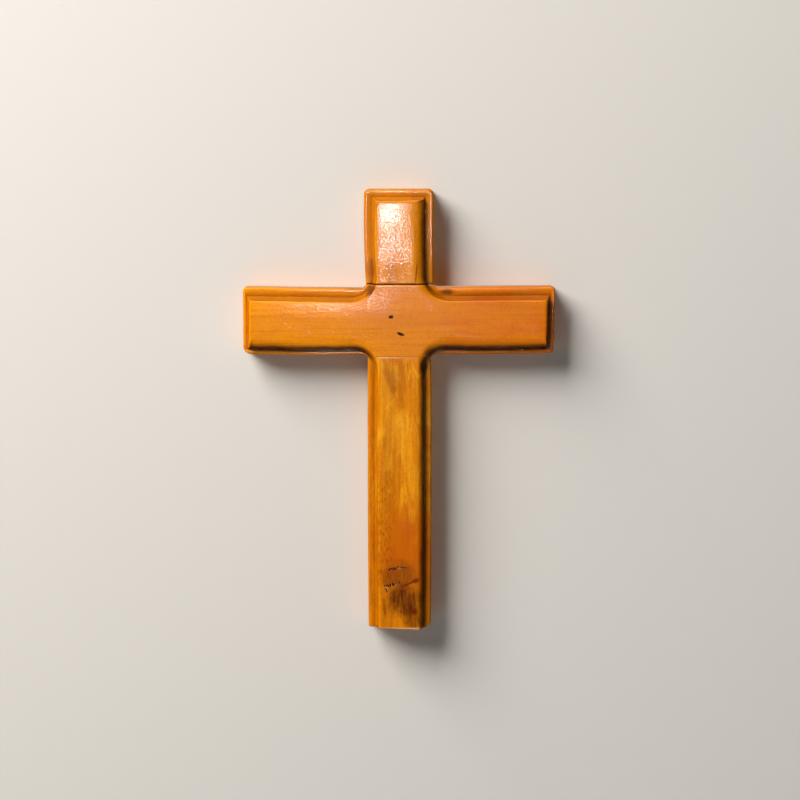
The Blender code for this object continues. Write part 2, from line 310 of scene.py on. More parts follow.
def line_round(insets, radii):
    """One line round the cross, from the foot's right corner to its left corner."""
    corners = moved_corners(insets)
    stretches = [[corners[0]]]
    for index in range(1, len(corners) - 1):
        steps = ARC_STEPS[CORNERS[index][0]]
        stretches.append(arc(*corners[index - 1 : index + 2], radii[index], steps))
    stretches.append([corners[-1]])
    points = []
    for side, (stretch, following) in enumerate(zip(stretches, stretches[1:])):
        points += stretch
        start, end = stretch[-1], following[0]
        along = (end - start).normalized()
        bow = Vector((along.y, -along.x)) * SIDES[side][BOW] * MM
        for step in range(1, SIDE_STEPS[side]):
            share = step / SIDE_STEPS[side]
            points.append(start.lerp(end, share) + bow * math.sin(math.pi * share))
    return points + stretches[-1]


def edge_line():
    """The outer edge."""
    radii = [EDGE_RADIUS.get(corner[0], 0.0) for corner in CORNERS]
    return line_round([0.0] * len(SIDES), radii)


def routed_line(cove_share, shoulder_share, corner_radius):
    """A line inside the groove's bottom, past a share of the cove and of the shoulder."""
    insets = [
        (side[GROOVE] + side[COVE] * cove_share + side[SHOULDER] * shoulder_share) * MM for side in SIDES
    ]
    radii = [corner_radius] * len(CORNERS)
    for index, corner in enumerate(CORNERS):
        if corner[0] == "inner":
            radii[index] = BEARING_RADIUS + (insets[index - 1] + insets[index]) / 2
    return line_round(insets, radii)


def round_the_line(column):
    """A side's value for each point of a line, blended across the corners."""
    values = [side[column] for side in SIDES]
    result = [values[0]]
    for side, value in enumerate(values):
        if side:
            before = values[side - 1]
            steps = ARC_STEPS[CORNERS[side][0]]
            result += [before + (value - before) * step / steps for step in range(steps + 1)]
        result += [value] * (SIDE_STEPS[side] - 1)
    return result + [values[-1]]


edge = edge_line()
groove = routed_line(0.0, 0.0, 0.4 * MM)
print(len(edge), "points in each line round the cross")

# %% [markdown]
# ## Marks of the hand
# A machine would leave every line straight. Here the sanding block wandered, so the lines
# waver by a tenth or two of a millimetre. A smooth noise gives that, and it is read at the
# groove's own points, so that neighbouring lines waver together and never cross.

# %% Wander along the lines
EDGE_WANDER = 0.14 * MM
ARRIS_WANDER = 0.55 * MM
LIP_WANDER = 0.22 * MM


def wander(point, wavelength, seed):
    """A smooth random number from -1 to 1 that changes over about one wavelength."""
    place = Vector((point[0], point[1], 0.0)) / wavelength
    return noise.noise(place + Vector((0.0, 0.0, seed)))


inwards = []
for index, point in enumerate(groove):
    before = groove[max(index - 1, 0)]
    after = groove[min(index + 1, len(groove) - 1)]
    along = (after - before).normalized()
    inwards.append(Vector((-along.y, along.x)))
edge_shift = [EDGE_WANDER * (1 + wander(point, 17 * MM, 3.1)) for point in groove]
arris_shift = [
    ARRIS_WANDER * (0.6 * wander(point, 13 * MM, 7.7) + 0.4 * wander(point, 5 * MM, 1.3)) for point in groove
]
lip_lift = [LIP_WANDER * wander(point, 21 * MM, 5.5) for point in groove]
print("edge wanders by", round(max(edge_shift) * 1000, 2), "mm")

# %% [markdown]
# ## The front face
# The flat of the cross isn't truly flat either. The top arm leans back a hair, and the sander
# left shallow hollows. They are far too shallow to see as shape, but a glossy varnish
# shows them at once as a broken, wandering shine.

# %% Height of the flat field
HOLLOW_DEPTH = 0.02 * MM
TOP_LEAN = 1.0 * MM
TOP_CROWN = 0.10 * MM
CROWN = 0.12 * MM
CROWN_WIDTH = 10.0 * MM


def smooth(value, low, high):
    """A soft step: 0 at low, 1 at high."""
    share = min(1.0, max(0.0, (value - low) / (high - low)))
    return share * share * (3 - 2 * share)


def field_height(x, z):
    """Height of the flat front above the back."""
    hollow = HOLLOW_DEPTH * (0.5 + 0.5 * wander((x, z), 26 * MM, 11.0))
    up_the_arm = max(0.0, (z - HALF_WIDTH) / (post_high.z - HALF_WIDTH))
    on_side_arm = smooth(abs(x), HALF_WIDTH * 0.6, HALF_WIDTH * 3.0)
    crown = CROWN * on_side_arm * max(0.0, z / CROWN_WIDTH) ** 2
    crown += TOP_CROWN * smooth(up_the_arm, 0.0, 0.3) * (x / CROWN_WIDTH) ** 2
    return THICKNESS - hollow - crown - TOP_LEAN * up_the_arm ** 2


print("field at the crossing", round(field_height(0.0, 0.0) * 1000, 2), "mm above the back")

# %% [markdown]
# ## The section of the moulding
# From outside in, the moulding is a vertical side, a rounded lip, a groove, a narrow floor that
# curves up into a steep wall, and a rounded shoulder that runs out into the flat. Each part of
# the section is a short curve, a quarter of an ellipse or a power, so its few numbers can be
# read against the real thing: the lip lies 5 mm below the front, and the groove is a little
# deeper.

# %% Section curves
LIP_DROP = 5.0 * MM
LIP_ROUNDING = 1.6 * MM
GROOVE_DROP = 5.4 * MM
COVE_POWER = 1.3
BACK_EASING = 0.4 * MM
LIP_RINGS = 14
COVE_RINGS = 10
SHOULDER_RINGS = 9
SHOULDER_START = math.radians(14)


def lip_drop(share, crest):
    """How far the lip lies below the front, at a share of the way from edge to groove."""
    if share < crest:
        outwards = 1 - share / crest
        return LIP_DROP + LIP_ROUNDING * (1 - math.sqrt(1 - outwards ** 3.5))
    towards_groove = (share - crest) / (1 - crest)
    return LIP_DROP + (GROOVE_DROP - LIP_DROP) * towards_groove ** 1.6


def section():
    """The moulding as rings: (points, heights, place). Place runs 0 edge, 1 groove, 2 arris, 3 field."""
    rings = []
    crests = round_the_line(CREST)
    drops = [drop * MM for drop in round_the_line(SHOULDER_DROP)]

    def add(line, heights, place):
        rings.append((line, heights, place))

    worn_edge = [point + normal * shift for point, normal, shift in zip(edge, inwards, edge_shift)]
    back_line = [point + normal * BACK_EASING for point, normal in zip(worn_edge, inwards)]
    level = [0.0] * len(edge)
    add(back_line, level, 0.0)
    for height in (BACK_EASING, 4.5 * MM, 9.0 * MM):
        add(worn_edge, [height] * len(edge), 0.0)
    for step in range(LIP_RINGS + 1):
        share = (1 - math.cos(math.pi * step / LIP_RINGS)) / 2
        line = [outer.lerp(inner, share) for outer, inner in zip(worn_edge, groove)]
        lift = math.sin(math.pi * share)
        add(line, [THICKNESS - lip_drop(share, c) + lift * extra for c, extra in zip(crests, lip_lift)], share)
    for step in range(1, COVE_RINGS + 1):
        share = 1 - (1 - step / COVE_RINGS) ** 1.6
        line = routed_line(share, 0.0, 0.5 * MM)
        line = [point + n * shift * share for point, n, shift in zip(line, inwards, arris_shift)]
        base = [field_height(*point) - THICKNESS for point in line]
        rise = share ** COVE_POWER
        heights = [
            THICKNESS - GROOVE_DROP + (GROOVE_DROP - drop) * rise + extra * share for drop, extra in zip(drops, base)
        ]
        add(line, heights, 1 + share)
    for step in range(1, SHOULDER_RINGS + 1):
        turn = SHOULDER_START + (math.pi / 2 - SHOULDER_START) * step / SHOULDER_RINGS
        out = 1 - math.cos(turn) / math.cos(SHOULDER_START)
        down = (1 - math.sin(turn)) / (1 - math.sin(SHOULDER_START))
        line = routed_line(1.0, out, 0.8 * MM)
        line = [point + n * shift * (1 - out) for point, n, shift in zip(line, inwards, arris_shift)]
        heights = [field_height(*point) - drop * down for point, drop in zip(line, drops)]
        add(line, heights, 2 + out)
    return rings


rings = section()
print(len(rings), "rings of", len(edge), "points")

# %% [markdown]
# ## Nail holes, and nicks in the leg
# Two old nail holes break the varnish at the crossing, and the foot of the leg carries two
# rows of small, dark nicks. Painting them would look flat from the side, so they are cut
# into the mesh: a function gives the depth at any point, and the mesh is made finer there.

# %% Holes and nicks
NAIL_HOLES = [
    {"x": -4.3 * MM, "z": 2.2 * MM, "long": 1.15 * MM, "short": 0.75 * MM, "turn": 8.0, "deep": 0.8 * MM},
    {"x": 0.9 * MM, "z": -7.1 * MM, "long": 1.7 * MM, "short": 0.70 * MM, "turn": -22.0, "deep": 0.8 * MM},
]
NICK_DEPTH = 0.42 * MM
NICK_HALF_WIDTH = 0.34 * MM


def nick_row(first, last, count, seed):
    """Short strokes between two places, each as (start, end); they aren't writing."""
    strokes = []
    for number in range(count):
        share = number / (count - 1)
        middle = first.lerp(last, share)
        lean = 3.2 * noise.noise(Vector((number * 1.7, seed, 0.3)))
        half = (0.25 + 1.5 * abs(noise.noise(Vector((seed, number * 2.3, 4.0))))) * MM
        reach = Vector((math.sin(lean), math.cos(lean))) * half
        jitter = noise.noise_vector(Vector((number * 3.1, 8.0, seed)))
        middle = middle + jitter.xy * 1.1 * MM
        strokes.append((middle - reach, middle + reach))
    return strokes


MARK_AREAS = [(-6.8, -0.2, -1.6, 5.4), (-1.6, -9.8, 4.2, -4.4), (-9.2, -149.4, 4.8, -131.8)]
STROKES = nick_row(Vector((-4.9, -135.4)) * MM, Vector((-0.9, -134.2)) * MM, 6, 2.0)
STROKES += [(Vector((0.4, -134.7)) * MM, Vector((3.6, -134.5)) * MM)]
STROKES += nick_row(Vector((-7.6, -144.9)) * MM, Vector((-0.4, -142.8)) * MM, 10, 5.0)
STROKES += [(Vector((-7.4, -146.0)) * MM, Vector((-6.4, -148.0)) * MM)]


def in_mark_area(point, margin):
    """True if a point is in one of the areas with holes or nicks."""
    for low_x, low_z, high_x, high_z in MARK_AREAS:
        if low_x * MM - margin < point[0] < high_x * MM + margin:
            if low_z * MM - margin < point[1] < high_z * MM + margin:
                return True
    return False


def distance_to_stroke(point, stroke):
    """Distance from a point to a straight stroke."""
    start, end = stroke
    along = end - start
    share = max(0.0, min(1.0, (point - start).dot(along) / along.length_squared))
    return (point - start - along * share).length


def hole_depth(x, z):
    """How deep the nail holes are at a point, and 0 to 1 for how much dirt lies there."""
    depth, dirt = 0.0, 0.0
    for hole in NAIL_HOLES:
        turn = math.radians(hole["turn"])
        dx, dz = x - hole["x"], z - hole["z"]
        if abs(dx) > 5 * MM or abs(dz) > 5 * MM:
            continue
        u = (dx * math.cos(turn) + dz * math.sin(turn)) / hole["long"]
        v = (dz * math.cos(turn) - dx * math.sin(turn)) / hole["short"]
        ragged = 1 + 0.45 * wander((dx, dz), 0.7 * MM, 2.0)
        out = math.hypot(u, v) * ragged
        depth += hole["deep"] * max(0.0, 1 - out ** 2.5)
        dirt = max(dirt, min(1.0, max(0.0, 1.45 - out) / 0.5))
    return depth, dirt


def nick_depth(x, z):
    """How deep the nicks are at a point, and how much dirt lies there."""
    if not in_mark_area((x, z), 0.0):
        return 0.0, 0.0
    point = Vector((x, z))
    near = min(distance_to_stroke(point, stroke) for stroke in STROKES)
    share = max(0.0, 1 - near / NICK_HALF_WIDTH)
    return NICK_DEPTH * share, min(1.0, max(0.0, 1.5 - near / NICK_HALF_WIDTH))


print(len(NAIL_HOLES), "nail holes and", len(STROKES), "nicks")

# %% [markdown]
# ## Points inside the front face
# The rings stop where the field goes flat. Filling that area with one big face would do for
# a box, but not for hollows and holes, so it is sprinkled with points and triangulated. The
# points sit in staggered rows, 1.2 mm apart, and four times closer round each mark.

# %% Sprinkle points
FIELD_SPACING = 1.2 * MM
MARK_SPACING = 0.22 * MM
KEEP_FROM_EDGE = 0.6 * MM


def inside(point, polygon):
    """True if a point lies inside a closed polygon."""
    result = False
    x, y = point
    for (ax, ay), (bx, by) in zip(polygon, polygon[1:] + polygon[:1]):
        if (ay > y) != (by > y) and x < (bx - ax) * (y - ay) / (by - ay) + ax:
            result = not result
    return result


def staggered(low_x, low_z, high_x, high_z, spacing):
    """Rows of points, each row shifted by half a step."""
    points = []
    row_height = spacing * math.sqrt(3) / 2
    for row in range(int((high_z - low_z) / row_height) + 1):
        shift = spacing / 2 * (row % 2)
        for column in range(int((high_x - low_x) / spacing) + 1):
            points.append((low_x + shift + column * spacing, low_z + row * row_height))
    return points


def field_points(polygon):
    """All the points to put inside the field."""
    tree = KDTree(len(polygon))
    for index, point in enumerate(polygon):
        tree.insert((point[0], point[1], 0.0), index)
    tree.balance()
    low_x = min(point[0] for point in polygon)
    high_x = max(point[0] for point in polygon)
    low_z = min(point[1] for point in polygon)
    high_z = max(point[1] for point in polygon)
    wanted = []
    for point in staggered(low_x, low_z, high_x, high_z, FIELD_SPACING):
        if not in_mark_area(point, FIELD_SPACING / 2):
            wanted.append(point)
    for area in MARK_AREAS:
        wanted += staggered(*[value * MM for value in area], MARK_SPACING)
    corners = [(point[0], point[1]) for point in polygon]
    kept = []
    for point in wanted:
        if tree.find((point[0], point[1], 0.0))[2] > KEEP_FROM_EDGE and inside(point, corners):
            kept.append(point)
    return kept


# %% [markdown]
# ## One closed body
# Rings become strips of faces. The field, the back and the sawn foot are each one outline
# filled with triangles, and one helper does all three. The foot isn't square: the saw cut
# slants, and its right corner is rounded. So the last stretch of the leg is squeezed a little
# to end where the foot does. The result is one watertight body, which matters because the
# next steps cut it along its glue lines.

# %% The foot
FOOT_SLANT = 1.4 * MM
FOOT_CORNER = 5.6 * MM
FOOT_EASING = 0.4 * MM
FOOT_BLEND = 12.0 * MM


def foot_level(x):
    """The z of the sawn foot, which slants and is rounded at its right corner."""
    from_right = CORNERS[0][1] - x
    level = -FOOT_REACH + FOOT_SLANT * from_right / (2 * HALF_WIDTH)
    into_corner = min(FOOT_CORNER - from_right, FOOT_CORNER)
    if into_corner > 0:
        level += FOOT_CORNER - math.sqrt(FOOT_CORNER ** 2 - into_corner ** 2)
    return level


def above_foot(x, z):
    """A place on the leg, squeezed so that the leg ends at the foot."""
    share = (z + FOOT_REACH) / FOOT_BLEND
    if share >= 1:
        return z
    bottom = foot_level(x) + FOOT_EASING
    return bottom + (FOOT_BLEND - FOOT_REACH - bottom) * max(share, 0.0)


def fill(mesh, loop, flat, extra=(), lift=None):
    """Fill a closed loop of vertices with triangles. flat() gives a vertex's place in the plane."""
    places = [Vector(flat(vertex)) for vertex in loop] + [Vector(point) for point in extra]
    boundary = [list(range(len(loop)))]
    points, _, faces, sources, _, _ = delaunay_2d_cdt(places, [], boundary, 1, 1e-8)
    vertices = []
    for point, source in zip(points, sources):
        if source and source[0] < len(loop):
            vertices.append(loop[source[0]])
        else:
            vertices.append(mesh.verts.new(lift(point)))
    for face in faces:
        mesh.faces.new([vertices[index] for index in face])


print("foot at z", round(foot_level(0.0) * 1000, 2), "mm in its middle")

# %% Skin the rings and fill the field
body = bmesh.new()
PLACE = body.verts.layers.float.new("place")
# The pool and reach layers steer the painted shade in the groove.
GROOVE_SHADE_LAYER = body.verts.layers.float.new("groove_shade")
REACH_LAYER = body.verts.layers.float.new("reach")
DIRT = body.verts.layers.float.new("dirt")

columns = []
groove_shades, reaches = round_the_line(GROOVE_SHADE), round_the_line(REACH)
for line, heights, place in rings:
    column = []
    for point, height, groove_shade, reach in zip(line, heights, groove_shades, reaches):
        vertex = body.verts.new((point[0], -height, above_foot(*point)))
        vertex[PLACE] = place
        vertex[GROOVE_SHADE_LAYER] = groove_shade
        vertex[REACH_LAYER] = reach
        column.append(vertex)
    columns.append(column)
for ring, following in zip(columns, columns[1:]):
    for index in range(len(ring) - 1):
        body.faces.new((ring[index], ring[index + 1], following[index + 1], following[index]))

field_ring = columns[-1]
right, left = field_ring[0].co.x, field_ring[-1].co.x
FOOT_STEPS = round((right - left) / FIELD_SPACING)
foot_edge = []
for step in range(1, FOOT_STEPS):
    x = right + (left - right) * step / FOOT_STEPS
    z = foot_level(x) + FOOT_EASING
    foot_edge.append(body.verts.new((x, -field_height(x, z), z)))
field_loop = field_ring + foot_edge[::-1]
field_outline = [(vertex.co.x, vertex.co.z) for vertex in field_loop]


def lift_to_field(point):
    """A point of the front, at the height of the field."""
    return (point[0], -field_height(point[0], point[1]), point[1])


count_before = len(body.verts)
fill(body, field_loop, lambda vertex: vertex.co.xz, field_points(field_outline), lift_to_field)
body.verts.ensure_lookup_table()
for vertex in foot_edge + body.verts[count_before:]:
    vertex[PLACE] = 3.0
    for depth, dirt in (hole_depth(vertex.co.x, vertex.co.z), nick_depth(vertex.co.x, vertex.co.z)):
        vertex.co.y += depth
        vertex[DIRT] = max(vertex[DIRT], dirt)
print("front has", len(body.verts), "points")

# %% Close the foot and the back
foot_chain = [ring[0] for ring in columns] + foot_edge + [ring[-1] for ring in columns[::-1]]
eased_chain = []
for index, vertex in enumerate(foot_chain):
    here = vertex.co.xy
    arriving = (here - foot_chain[index - 1].co.xy).normalized()
    leaving = (foot_chain[(index + 1) % len(foot_chain)].co.xy - here).normalized()
    along = (arriving + leaving).normalized()
    x, y = here + Vector((along.y, -along.x)) * FOOT_EASING
    corner = body.verts.new((x, y, foot_level(x)))
    corner[PLACE] = vertex[PLACE]
    corner[GROOVE_SHADE_LAYER] = vertex[GROOVE_SHADE_LAYER]
    corner[REACH_LAYER] = vertex[REACH_LAYER]
    eased_chain.append(corner)
for index in range(len(foot_chain)):
    following = (index + 1) % len(foot_chain)
    pair = (foot_chain[index], foot_chain[following])
    body.faces.new(pair + (eased_chain[following], eased_chain[index]))
fill(body, eased_chain, lambda vertex: vertex.co.xy)
fill(body, columns[0], lambda vertex: vertex.co.xz)
bmesh.ops.recalc_face_normals(body, faces=body.faces)
open_edges = sum(not edge_.is_manifold for edge_ in body.edges)
print("body has", len(body.faces), "faces and", open_edges, "open edges")

# %% [markdown]
# ## Joint lines
# The planks are half-lapped: the crossbar lies in front, the upright behind. So the front shows
# two joint lines across the upright, and the back shows two across the crossbar. The lower
# one in front is tight and nearly invisible. The upper one has opened, and varnish has
# rounded its edges. First the mesh gets edges along both sides of each joint, so that there
# are points to pull down. Bisecting is the cleanest way to add them.

# %% Ease the joint edges
LAP_DEPTH = 10.0 * MM
EASING_REACH = 0.55 * MM
EASING_STEPS = (0.12, 0.30, 0.60, 1.0)
JOINTS = [
    {"axis": 2, "at": HALF_WIDTH, "gap": 0.44 * MM, "easing": 0.42 * MM, "front": True},
    {"axis": 2, "at": -HALF_WIDTH, "gap": 0.08 * MM, "easing": 0.03 * MM, "front": True},
    {"axis": 0, "at": HALF_WIDTH, "gap": 0.16 * MM, "easing": 0.12 * MM, "front": False},
    {"axis": 0, "at": -HALF_WIDTH, "gap": 0.16 * MM, "easing": 0.12 * MM, "front": False},
]

for joint in JOINTS:
    normal = Vector((0.0, 0.0, 0.0))
    normal[joint["axis"]] = 1.0
    for side_of_joint in (-1, 1):
        for share in EASING_STEPS:
            offset = joint["gap"] / 2 + EASING_REACH * share
            plane = normal * (joint["at"] + side_of_joint * offset)
            geometry = body.verts[:] + body.edges[:] + body.faces[:]
            bmesh.ops.bisect_plane(body, geom=geometry, dist=1e-7, plane_co=plane, plane_no=normal)
body.normal_update()

TOP_ARM_SINK = 0.28 * MM
SINK_FADE = 16 * MM
for vertex in body.verts:
    above_joint = vertex.co.z - HALF_WIDTH
    if above_joint > 0 and vertex.co.y < -LAP_DEPTH:
        vertex.co.y += TOP_ARM_SINK * (1 - smooth(above_joint, 0.0, SINK_FADE))

pulled = []
for vertex in body.verts:
    for joint in JOINTS:
        from_joint = abs(vertex.co[joint["axis"]] - joint["at"]) - joint["gap"] / 2
        in_front = vertex.co.y < -LAP_DEPTH
        if from_joint < EASING_REACH and in_front == joint["front"]:
            depth = joint["easing"] * (1 - max(from_joint, 0.0) / EASING_REACH) ** 2
            uneven = 0.65 + 0.7 * abs(wander(vertex.co.xz, 2.5 * MM, joint["at"] * 1000))
            pulled.append((vertex, vertex.normal * depth * uneven))
            grime = 1.5 * depth / EASING_REACH * uneven
            vertex[DIRT] = max(vertex[DIRT], min(1.0, grime))
for vertex, pull in pulled:
    vertex.co -= pull
print("pulled", len(pulled), "points down beside the joints")

# %% [markdown]
# ## Sawing the body into its two planks
# A Boolean cuts a mesh with another one. The MANIFOLD solver is made for closed meshes and
# takes a fraction of a second here. The cutters are plain boxes, and one cylinder for the
# hanging hole in the back. The layers that steer the finish are copied from the body's nearest
# points afterwards, because a cut makes new points that know nothing of them.

# %% Cut a plank out of the body
HOLE_DIAMETER = 8.0 * MM
HOLE_DEPTH = 10.0 * MM
HOLE_BELOW_TOP = 18.0 * MM
HOLE_SIDES = 64
FAR = 300 * MM
SHARP_ANGLE = math.radians(38)

body_mesh = bpy.data.meshes.new("whole_cross")
body.to_mesh(body_mesh)
body_tree = KDTree(len(body_mesh.vertices))
for vertex in body_mesh.vertices:
    body_tree.insert(vertex.co, vertex.index)
body_tree.balance()


def box_cutter(low, high):
    """A box as a cutter."""
    mesh = bmesh.new()
    size = Vector(high) - Vector(low)
    middle = Matrix.Translation((Vector(high) + Vector(low)) / 2)
    bmesh.ops.create_cube(mesh, size=1.0, matrix=middle @ Matrix.Diagonal(size.to_4d()))
    return mesh


def hole_cutter():
    """The drill for the hanging hole."""
    mesh = bmesh.new()
    centre = Vector((0.0, 0.0, post_high.z - HOLE_BELOW_TOP))
    turn = Matrix.Translation(centre) @ Matrix.Rotation(math.pi / 2, 4, "X")
    radius = HOLE_DIAMETER / 2
    bmesh.ops.create_cone(
        mesh, cap_ends=True, segments=HOLE_SIDES, radius1=radius, radius2=radius, depth=2 * HOLE_DEPTH, matrix=turn
    )
    return mesh


def cut_plank(name, cutters):
    """A copy of the body with the cutters taken away, as one object."""
    plank = bpy.data.objects.new(name, body_mesh.copy())
    bpy.context.scene.collection.objects.link(plank)
    tools = []
    for cutter in cutters:
        tool_mesh = bpy.data.meshes.new("cutter")
        cutter.to_mesh(tool_mesh)
        tool = bpy.data.objects.new("cutter", tool_mesh)
        bpy.context.scene.collection.objects.link(tool)
        modifier = plank.modifiers.new("cut", "BOOLEAN")
        modifier.operation = "DIFFERENCE"
        modifier.solver = "MANIFOLD"
        modifier.object = tool
        tools.append(tool)
    evaluated = plank.evaluated_get(bpy.context.evaluated_depsgraph_get())
    mesh = bpy.data.meshes.new_from_object(evaluated)
    plank.modifiers.clear()
    plank.data = mesh
    for tool in tools:
        bpy.data.objects.remove(tool)
    for layer in ("place", "groove_shade", "reach", "dirt"):
        if layer in mesh.attributes:
            mesh.attributes.remove(mesh.attributes[layer])
        values = [0.0] * len(mesh.vertices)
        source = body_mesh.attributes[layer].data
        for vertex in mesh.vertices:
            values[vertex.index] = source[body_tree.find(vertex.co)[1]].value
        mesh.attributes.new(layer, "FLOAT", "POINT").data.foreach_set("value", values)
    mesh.shade_smooth()
    mesh.set_sharp_from_angle(angle=SHARP_ANGLE)
    print(name, "has", len(mesh.polygons), "faces")
    return plank


upper, lower, right_joint, left_joint = JOINTS
crossbar = cut_plank(
    "crossbar_plank",
    [
        box_cutter((-FAR, -FAR, upper["at"] - upper["gap"] / 2), (FAR, FAR, FAR)),
        box_cutter((-FAR, -FAR, -FAR), (FAR, FAR, lower["at"] + lower["gap"] / 2)),
        box_cutter(
            (left_joint["at"] - left_joint["gap"] / 2, -LAP_DEPTH - GLUE_LINE / 2, -FAR),
            (right_joint["at"] + right_joint["gap"] / 2, FAR, FAR),
        ),
    ],
)
upright = cut_plank(
    "upright_plank",
    [
        box_cutter((-FAR, -FAR, -FAR), (left_joint["at"] + left_joint["gap"] / 2, FAR, FAR)),
        box_cutter((right_joint["at"] - right_joint["gap"] / 2, -FAR, -FAR), (FAR, FAR, FAR)),
        box_cutter(
            (-FAR, -FAR, lower["at"] - lower["gap"] / 2),
            (FAR, GLUE_LINE / 2 - LAP_DEPTH, upper["at"] + upper["gap"] / 2),
        ),
        hole_cutter(),
    ],
)

# %% [markdown]
# ## Tools for mixing a finish
# A finish is a network of small nodes, and written out one by one they hide the idea. This
# small class keeps each idea on one line: a noise with a size in millimetres, a soft step
# between two values, a mix of two colours, a spot at a place on the cross. Places come from
# Object coordinates, so the finish stays on the wood when the camera or the part moves.

# %% Finish mixer
def tone(red, green, blue):
    """A colour as a screen shows it, 0 to 255, in the linear numbers that a shader takes."""
    return tuple((value / 255) ** 2.2 for value in (red, green, blue)) + (1.0,)


class Finish:
    """The nodes of one material. Lengths are in millimetres."""

    def __init__(self, name):
        self.material = bpy.data.materials.new(name)
        self.material.use_nodes = True
        self.tree = self.material.node_tree
        self.shader = self.tree.nodes["Principled BSDF"]
        metres = self.add("ShaderNodeTexCoord").outputs["Object"]
        scaled = self.add("ShaderNodeVectorMath", {0: metres, "Scale": 1000.0}, operation="SCALE")
        self.place = scaled.outputs[0]
        split = self.add("ShaderNodeSeparateXYZ", {0: self.place})
        self.x, self.y, self.z = split.outputs

    def add(self, kind, inputs=None, **settings):
        """Add a node, set its settings, and link or set its inputs."""
        node = self.tree.nodes.new(kind)
        for setting, value in settings.items():
            setattr(node, setting, value)
        for key, value in (inputs or {}).items():
            if isinstance(value, bpy.types.NodeSocket):
                self.tree.links.new(value, node.inputs[key])
            else:
                node.inputs[key].default_value = value
        return node

    def calc(self, operation, first, second=0.0):
        """One step of arithmetic."""
        return self.add("ShaderNodeMath", {0: first, 1: second}, operation=operation).outputs[0]

    def step(self, value, low, high):
        """A soft step: 0 at low, 1 at high."""
        inputs = {"Value": value, "From Min": low, "From Max": high}
        return self.add("ShaderNodeMapRange", inputs, interpolation_type="SMOOTHSTEP").outputs["Result"]

    def mix(self, amount, first, second, blend="MIX"):
        """Two colours mixed by an amount."""
        inputs = {0: amount, 6: first, 7: second}
        return self.add("ShaderNodeMix", inputs, data_type="RGBA", blend_type=blend).outputs[2]

    def noise(self, size, detail=2.0, shift=0.0, roughness=0.5, distortion=0.0):
        """A noise whose features have these sizes along x, y and z."""
        scale = tuple(1 / length for length in size)
        stretched = self.add("ShaderNodeVectorMath", {0: self.place, 1: scale}, operation="MULTIPLY").outputs[0]
        moved = self.add("ShaderNodeVectorMath", {0: stretched, 1: (shift, shift, shift)}, operation="ADD")
        inputs = {"Vector": moved.outputs[0], "Scale": 1.0, "Detail": detail, "Roughness": roughness}
        inputs["Distortion"] = distortion
        return self.add("ShaderNodeTexNoise", inputs).outputs["Fac"]

    def spot(self, middle, reach, soft=0.5, ragged=0.6, grit=3.0, turn=0.0):
        """1 inside an ellipse on the front, fading out over its ragged edge. It turns in degrees."""
        cosine, sine = math.cos(math.radians(turn)), math.sin(math.radians(turn))
        dx = self.calc("SUBTRACT", self.x, middle[0])
        dz = self.calc("SUBTRACT", self.z, middle[1])
        across = self.calc("ADD", self.calc("MULTIPLY", dx, cosine / reach[0]), self.calc("MULTIPLY", dz, sine / reach[0]))
        up = self.calc("SUBTRACT", self.calc("MULTIPLY", dz, cosine / reach[1]), self.calc("MULTIPLY", dx, sine / reach[1]))
        squares = self.calc("ADD", self.calc("MULTIPLY", across, across), self.calc("MULTIPLY", up, up))
        distance = self.calc("SQRT", squares)
        rough = self.calc("SUBTRACT", self.noise((grit, grit, grit), 3.0, middle[0]), 0.5)
        distance = self.calc("ADD", distance, self.calc("MULTIPLY", rough, ragged * 2))
        return self.step(distance, 1 + soft, 1 - soft)

    def layer(self, name):
        """A layer that the mesh carries."""
        return self.add("ShaderNodeAttribute", attribute_name=name).outputs["Fac"]

    def height(self, value, distance, below=None):
        """Relief from a value, on top of other relief. The distance is in millimetres."""
        inputs = {"Height": value, "Distance": distance * MM, "Strength": 1.0}
        if below is not None:
            inputs["Normal"] = below
        return self.add("ShaderNodeBump", inputs).outputs[0]

    def paint(self, colour=None, roughness=None, relief=None, varnish_relief=None, **constants):
        """Connect the results to the shader. The rest are constants on its own sockets."""
        named = {"Base Color": colour, "Roughness": roughness, "Normal": relief, "Coat Normal": varnish_relief}
        for socket, value in named.items():
            if value is not None:
                self.tree.links.new(value, self.shader.inputs[socket])
        for socket, value in constants.items():
            self.shader.inputs[socket.replace("_", " ").title().replace("Ior", "IOR")].default_value = value


print("mixer ready")

# %% [markdown]
# ## The varnished wood
# Under the varnish lies a plain orange wood. Its grain runs along each plank: wide, faint bands
# of colour, fine streaks, and short dark pores. Each is the same noise, stretched along the
# grain by a different amount. The varnish is the shader's clear coat. It was brushed on thick, so it
# has a fine ripple, called orange peel, that breaks up every reflection. The groove gets painted
# shade, a darker colour that deepens its shade, and along the sawn edge of the foot the varnish
# has worn thin.

# %% Shared varnish
VARNISH = {"coat_weight": 1.0, "coat_roughness": 0.045, "coat_ior": 1.5, "specular_ior_level": 0.08}
PEEL_SIZE = 0.88
PEEL_DEPTH = 0.019
GRIT_SIZE = 0.55
GRIT_DEPTH = 0.045
PORE_LENGTH = 5.0
PORE_WIDTH = 0.28
# The colour of the painted shade in the groove.
GROOVE_SHADE_COLOUR = tone(76, 30, 4)
GROOVE_SHADE_FADE = 0.5


def along_grain(axis, length, width):
    """The size of a feature that lies along the grain."""
    size = [width, width, width]
    size[axis] = length
    return tuple(size)


